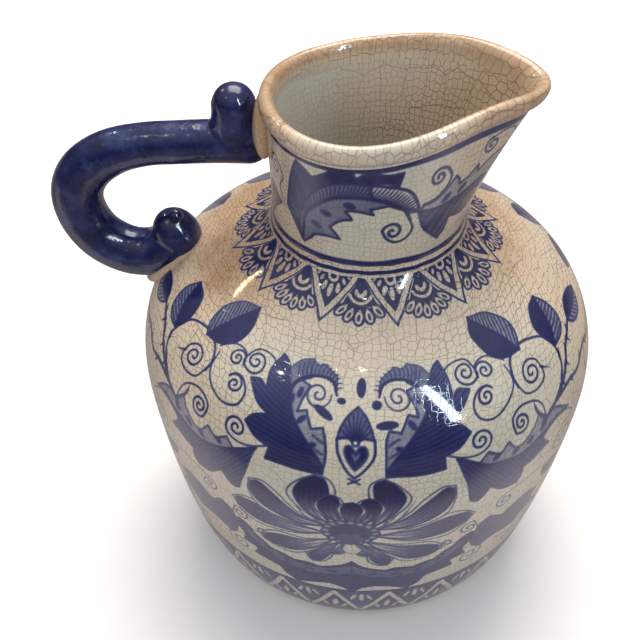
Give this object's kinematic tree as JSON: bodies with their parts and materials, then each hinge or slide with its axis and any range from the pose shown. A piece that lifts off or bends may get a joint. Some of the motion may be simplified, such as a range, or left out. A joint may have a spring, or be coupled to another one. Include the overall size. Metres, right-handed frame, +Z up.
{
  "type": "ceramic pitcher",
  "caption": "Round-bodied glazed ceramic pitcher with a drawn-out pouring spout, rolled lip and scrolled handle, painted in blue on crackled cream glaze.",
  "frame": {"origin": "on the vessel's axis, in the plane the foot ring stands on; the flat panel in the base is 1.2 mm above it", "axes": "+Z up along the vessel's axis, +X towards the pouring spout, handle on the -X side"},
  "size_m": [0.2325, 0.2, 0.2432],
  "materials": {
    "painted_glaze": "gloss",
    "cream_glaze": "gloss",
    "cobalt_glaze": "gloss",
    "biscuit": "matte"
  },
  "bodies": {
    "root": {"foot_ring": "biscuit", "body_jar": "painted_glaze", "shoulder_cap": "painted_glaze", "neck_collar": "painted_glaze", "lip_roll": "cream_glaze", "handle_bow": "cobalt_glaze", "handle_top_scroll": "cobalt_glaze", "handle_foot_knob": "cobalt_glaze", "upper_luting_pad": "cream_glaze", "lower_luting_pad": "cream_glaze"}
  },
  "joints": []
}
